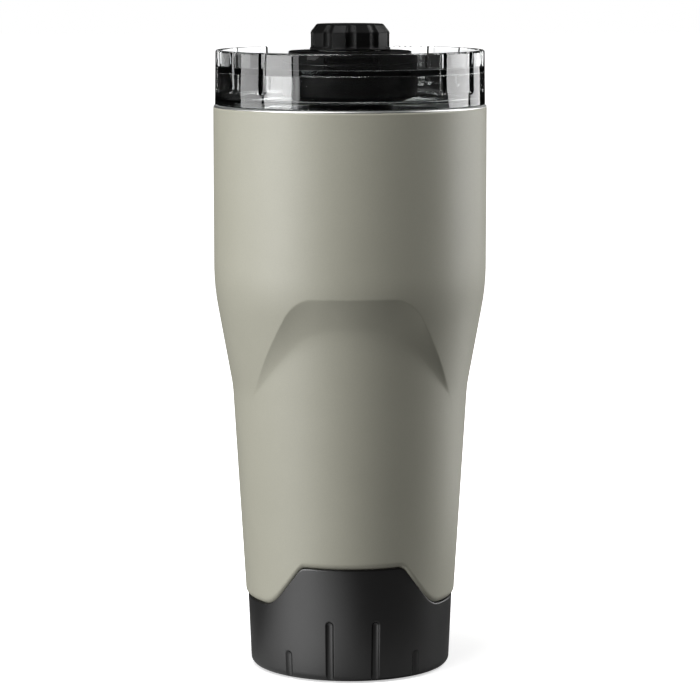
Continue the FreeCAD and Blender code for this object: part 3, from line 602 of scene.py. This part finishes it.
def powder_coat():
    """Warm grey powder coat: fine sandy grain, faint orange peel and a soft sheen."""
    s = Shader("powder_coat")
    cloud = s.noise(14.0, 3.0)
    grain = s.noise(0.42, 3.0)
    peel = s.noise(1.6, 1.0)
    colour = s.mix(s.remap(cloud, 0.0, 1.0), (0.395, 0.388, 0.318), (0.412, 0.405, 0.333))
    colour = s.mix(s.remap(grain, 0.0, 0.35), colour, (0.33, 0.325, 0.27))
    normal = s.bump(peel, 0.012)
    normal = s.bump(grain, 0.010, normal)
    s.principled(Base_Color=colour, Roughness=s.remap(grain, 0.40, 0.52), Normal=normal, IOR=1.5)
    return s.material


def brushed_steel():
    """Steel brushed round the cup's axis."""
    s = Shader("brushed_steel")
    streaks = s.noise(0.25, 2.0, s.stretch(0.03, 0.03, 1.0))
    smears = s.noise(6.0, 2.0)
    colour = s.mix(s.remap(streaks, 0.0, 1.0), (0.60, 0.60, 0.59), (0.72, 0.72, 0.71))
    s.principled(Base_Color=colour, Metallic=1.0, Roughness=s.remap(smears, 0.36, 0.40),
                 Normal=s.bump(streaks, 0.003))
    return s.material


def moulded(name, dark, light, rough_low, rough_high, grain_mm, grain_depth_mm, gloss=0.5, edge_mm=0.0):
    """Moulded plastic or rubber: spark-eroded grain, slight variation, edges that look rounded by edge_mm."""
    s = Shader(name)
    softened = None
    if edge_mm:
        softened = s.add("ShaderNodeBevel", {"Radius": edge_mm * MM}, samples=6).outputs["Normal"]
    grain = s.noise(grain_mm, 3.0)
    cloud = s.noise(9.0, 2.0)
    colour = s.mix(s.remap(cloud, 0.0, 1.0), dark, light)
    s.principled(Base_Color=colour, Roughness=s.remap(grain, rough_low, rough_high),
                 Normal=s.bump(grain, grain_depth_mm, softened), IOR=1.49, Specular_IOR_Level=gloss)
    return s.material


CLEAR_DENSITY = 45.0  # absorption per metre: nothing to speak of across a wall, but the deck is dark edge-on


def clear_plastic():
    """Clear copolyester of the lid. Shadow rays pass it almost unhindered, so that what it holds is lit."""
    s = Shader("clear_copolyester")
    flow = s.noise(9.0, 1.0)
    haze = s.noise(2.0, 2.0)
    glass = s.add("ShaderNodeBsdfPrincipled", {
        "Base Color": (0.955, 0.962, 0.960, 1.0), "Transmission Weight": 1.0, "IOR": 1.56,
        "Roughness": s.remap(haze, 0.0, 0.012), "Normal": s.bump(flow, 0.02)})
    clear = s.add("ShaderNodeBsdfTransparent", {"Color": (0.9, 0.91, 0.91, 1.0)})
    rays = s.add("ShaderNodeLightPath")
    joined = s.add("ShaderNodeMixShader", {0: rays.outputs["Is Shadow Ray"], 1: glass.outputs["BSDF"],
                                           2: clear.outputs["BSDF"]})
    s.surface(joined.outputs["Shader"])
    body = s.add("ShaderNodeVolumeAbsorption", {"Color": (0.02, 0.06, 0.06, 1.0), "Density": CLEAR_DENSITY})
    s.tree.links.new(body.outputs["Volume"], s.out.inputs["Volume"])
    return s.material


BACKDROP_FACING = 0.15  # least share of a ray's direction that points away from the camera, to see white
MOST_SURFACES = 2.5  # a ray that still sees white has crossed two surfaces of the lid at most, so one wall
# For rays other than the camera's the floor is painted dark, FLOOR_DULL, as painted shade that holds back
# bounced light; near the foot it is lighter, FLOOR_DULL_NEAR, as painted bounce light on the lower wall and
# the boot.
FLOOR_WHITE, FLOOR_DULL, FLOOR_DULL_NEAR = (0.75, 0.75, 0.75, 1.0), (0.09, 0.09, 0.09), (0.20, 0.20, 0.20)

# Painted pools of light on the floor, glowing for glossy rays only, set where the side lights would strike
# it: place, inner and outer radius, brightness. The sheen reflects these painted pools as painted
# reflections.
PAINTED_LIGHT_POOLS = (((-45, 0.13, 0.0), 0.05, 0.12, 0.9), ((118, 0.42, 0.0), 0.08, 0.26, 1.9))


def through_rim(s, rays):
    """1 for a ray that comes through the far wall of the lid's rim and still goes away from the camera."""
    here = s.add("ShaderNodeNewGeometry").outputs
    flown = {0: here["Incoming"], "Scale": rays["Ray Length"]}
    back = s.add("ShaderNodeVectorMath", flown, operation="SCALE").outputs["Vector"]
    left_at = s.add("ShaderNodeVectorMath", {0: here["Position"], 1: back}, operation="ADD").outputs["Vector"]
    left_z = s.add("ShaderNodeSeparateXYZ", {0: left_at}).outputs["Z"]
    facing_y = s.add("ShaderNodeSeparateXYZ", {0: here["Incoming"]}).outputs["Y"]
    passes = rays["Is Transmission Ray"]
    for test in (
        s.math("LESS_THAN", rays["Transmission Depth"], MOST_SURFACES),
        s.math("GREATER_THAN", left_z, (low("housing_cover").z + high("lid_shell").z) / 2 * MM),
        s.math("LESS_THAN", facing_y, -BACKDROP_FACING),
    ):
        passes = s.math("MULTIPLY", passes, test)
    return passes


def studio_floor():
    """White sweep: bright to the camera and through the lid's far rim, its glow weaker near the foot as
    painted shade; dull as a source of bounced light, which is painted shade, lighter near the foot as painted
    bounce light, with painted pools of light for reflections.
    """
    s = Shader("studio_floor")
    rays = s.add("ShaderNodeLightPath").outputs
    away = s.distance(s.place, (0, 0, 0))
    lit = s.add("ShaderNodeBsdfDiffuse", {"Color": FLOOR_WHITE})
    # The floor's glow is weaker near the foot: painted shade round the foot, under which the real contact
    # shadow of the lit floor also shows.
    glow = s.glow(s.fade(away, 0.035, 0.16, 0.55, 1.2))
    bright = s.add("ShaderNodeAddShader", {0: lit.outputs["BSDF"], 1: glow})
    # Painted shade for bounced light, lighter near the foot as painted bounce light.
    shade = s.mix(s.fade(away, 0.05, 0.11, 1.0, 0.0), FLOOR_DULL, FLOOR_DULL_NEAR)
    dull = s.add("ShaderNodeBsdfDiffuse", {"Color": shade})
    painted_pools = [s.fade(s.distance(s.place, bearing(*place)), inner, outer, level, 0.0)
               for place, inner, outer, level in PAINTED_LIGHT_POOLS]
    # Painted light: the pools glow only for glossy rays, so the sheen of the wall and boot shows them as
    # painted reflections.
    sheen = s.glow(s.math("MULTIPLY", s.math("ADD", *painted_pools), rays["Is Glossy Ray"]))
    unseen = s.add("ShaderNodeAddShader", {0: dull.outputs["BSDF"], 1: sheen})
    seen = s.math("MAXIMUM", through_rim(s, rays), rays["Is Camera Ray"])
    joined = s.add("ShaderNodeMixShader", {0: seen, 1: unseen.outputs["Shader"], 2: bright.outputs["Shader"]})
    s.surface(joined.outputs["Shader"])
    return s.material


def dress(piece, material):
    """Gives a piece or CAD node its material."""
    piece.data.materials.clear()
    piece.data.materials.append(material)


# ---------------------------------------------------------------- assembly

black, black_light, black_lighter = (0.003, 0.003, 0.003), (0.004, 0.004, 0.004), (0.005, 0.005, 0.005)
black_valve = moulded("valve_satin_black", black, black_light, 0.30, 0.42, 0.30, 0.006, gloss=0.03,
                      edge_mm=0.3)
black_knob = moulded("knob_soft_black", black, black_light, 0.36, 0.48, 0.28, 0.010, gloss=0.12)
black_boot = moulded("boot_satin_black", black, black_lighter, 0.28, 0.36, 0.35, 0.012, gloss=1.0)
silicone = moulded("black_silicone", (0.012, 0.012, 0.013), (0.020, 0.020, 0.020), 0.55, 0.70, 0.50, 0.006)
grey_part = moulded("mechanism_grey", (0.030, 0.030, 0.032), (0.040, 0.040, 0.042), 0.35, 0.50, 0.30, 0.008)
white_part = moulded("washer_white", (0.70, 0.70, 0.68), (0.76, 0.76, 0.74), 0.30, 0.40, 0.50, 0.003)
getter_part = moulded("getter_sinter", (0.09, 0.09, 0.09), (0.14, 0.14, 0.14), 0.60, 0.80, 0.20, 0.020)
steel = brushed_steel()
paint = powder_coat()
clear = clear_plastic()

NEW_PIECES = [
    (make_cup_shell, "cup", "outer_shell", paint, "body_paint"),
    (make_liner, "cup", "inner_liner", steel, "bare_steel"),
    (make_boot, "cup", "base_boot", black_boot, "boot_black"),
    (make_foot_ring, "cup", "foot_ring", silicone, "foot_silicone"),
    (make_knob, "knob_assembly", "knob", black_knob, "knob_black"),
    (make_knob_cap, "knob_assembly", "knob_cap", black_knob, "knob_black"),
]
for make, body, node, material, slot in NEW_PIECES:
    piece = make()
    dress(piece, material)
    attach(piece, body)
    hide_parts(node)

SLOT_MATERIALS = {
    "body_paint": paint, "bare_steel": steel, "seal_metal": steel, "getter_grey": getter_part,
    "boot_black": black_boot, "foot_silicone": silicone, "clear_lid": clear, "seal_silicone": silicone,
    "valve_black": black_valve, "mechanism_grey": grey_part, "washer_white": white_part,
    "knob_black": black_knob,
}
for part in frame["record"]["subparts"]:
    dress(frame["nodes"][part["node"]], SLOT_MATERIALS[part["material_slot"]])


# ---------------------------------------------------------------- studio


STUDIO_MIDDLE = Vector((0, 0, 0.12))  # the point that every softbox faces
SOFTBOX_DISTANCE = 1.2
DIM_ELSEWHERE = 0.03  # brightness of the studio's far walls in reflections
FLOOR_HALF = 8.0


def softbox(name, angle, rise, width, height, power, inside_lid=True):
    """Rectangular area light that faces the object; inside_lid says whether it shows through the lid."""
    light = bpy.data.lights.new(name, "AREA")
    light.shape = "RECTANGLE"
    light.size, light.size_y, light.energy = width, height, power
    lamp = bpy.data.objects.new(name, light)
    lift = math.radians(rise)
    lamp.location = STUDIO_MIDDLE + bearing(angle, SOFTBOX_DISTANCE * math.cos(lift),
                                            SOFTBOX_DISTANCE * math.sin(lift))
    lamp.rotation_euler = (STUDIO_MIDDLE - lamp.location).to_track_quat("-Z", "Y").to_euler()
    lamp.visible_transmission = inside_lid
    bpy.context.scene.collection.objects.link(lamp)


def make_floor():
    """Large plain floor at the height of the foot."""
    mesh = bpy.data.meshes.new("floor")
    half = FLOOR_HALF
    corners = [(-half, -half, 0), (half, -half, 0), (half, half, 0), (-half, half, 0)]
    mesh.from_pydata(corners, [], [(0, 1, 2, 3)])
    floor = bpy.data.objects.new("floor", mesh)
    bpy.context.scene.collection.objects.link(floor)
    dress(floor, studio_floor())


def make_world():
    """White behind the object for the camera; reflections and views through the lid meet a dim studio."""
    world = bpy.data.worlds.new("studio")
    world.use_nodes = True
    tree = world.node_tree
    tree.nodes.clear()
    add, link = tree.nodes.new, tree.links.new
    out = add("ShaderNodeOutputWorld")
    shade = add("ShaderNodeBackground")
    shade.inputs["Color"].default_value = WHITE
    strength = add("ShaderNodeMapRange")
    link(add("ShaderNodeLightPath").outputs["Is Camera Ray"], strength.inputs["Value"])
    strength.inputs["To Min"].default_value = DIM_ELSEWHERE
    strength.inputs["To Max"].default_value = 1.0
    link(strength.outputs["Result"], shade.inputs["Strength"])
    link(shade.outputs["Background"], out.inputs["Surface"])
    bpy.context.scene.world = world


CAMERA_TURN = -1.5  # degrees from the front; the sip window is turned a little to the camera's right
CAMERA_DISTANCE, CAMERA_HEIGHT, CAMERA_TILT = 1.0757, 0.2542, 7.5
CAMERA_LENS, CAMERA_SENSOR = 157.2, 36.0


def make_camera():
    """Long lens, slightly above the lid, looking down."""
    data = bpy.data.cameras.new("camera")
    data.lens = CAMERA_LENS
    data.sensor_width = CAMERA_SENSOR
    data.clip_start, data.clip_end = 0.05, 20.0
    camera = bpy.data.objects.new("camera", data)
    camera.location = bearing(CAMERA_TURN, CAMERA_DISTANCE, CAMERA_HEIGHT)
    camera.rotation_euler = (math.radians(90 - CAMERA_TILT), 0, math.radians(CAMERA_TURN))
    bpy.context.scene.collection.objects.link(camera)
    bpy.context.scene.camera = camera


make_floor()
make_world()
softbox("key_left", -64, 5.5, 0.56, 0.26, 3.7)
softbox("key_left_low", -56, -3.1, 0.96, 0.10, 5.2)
softbox("key_left_edge", -47, 3, 0.10, 0.26, 0.22)
softbox("key_left_high", -60, 42, 0.50, 0.50, 4.8)
softbox("fill_front", -28, 12, 0.40, 0.34, 0.3)
softbox("top_left", -38, 68, 0.50, 0.50, 7.2)
softbox("rim_right", 103, 3, 0.56, 0.46, 4.9, inside_lid=False)
softbox("rim_right_high", 104, 42, 0.70, 0.50, 8.5)
softbox("panel_left", -93, 1, 0.54, 0.22, 1.5, inside_lid=False)
softbox("panel_right", 131, 1, 0.46, 0.26, 1.1, inside_lid=False)
make_camera()
bpy.context.scene.view_settings.view_transform = "Standard"
